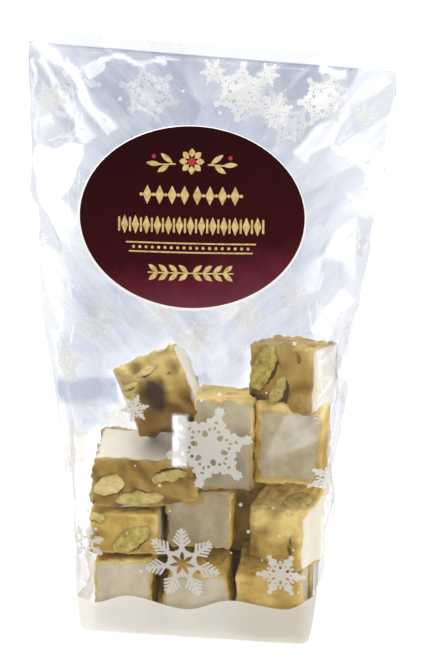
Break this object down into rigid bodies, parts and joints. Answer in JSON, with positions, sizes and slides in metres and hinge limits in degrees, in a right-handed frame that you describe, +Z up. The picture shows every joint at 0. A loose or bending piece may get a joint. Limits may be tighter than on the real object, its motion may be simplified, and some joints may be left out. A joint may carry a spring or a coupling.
{
  "type": "bag of nougat pieces",
  "caption": "Clear gusseted block-bottom bag of cut nougat pieces with a snowflake print and an oval paper label, sealed flat at the top and standing on its base.",
  "frame": {"origin": "middle of the flat base, on the surface that the bag stands on", "axes": "+Z up to the sealed edge, +X to the right seen from the front, the labelled front faces -Y"},
  "size_m": [0.1538, 0.0596, 0.2631],
  "materials": {
    "film": "clear crinkled film over cream nougat",
    "label": "gloss-varnished maroon paper"
  },
  "bodies": {
    "root": {"bag": "film", "label": "label"}
  },
  "joints": []
}
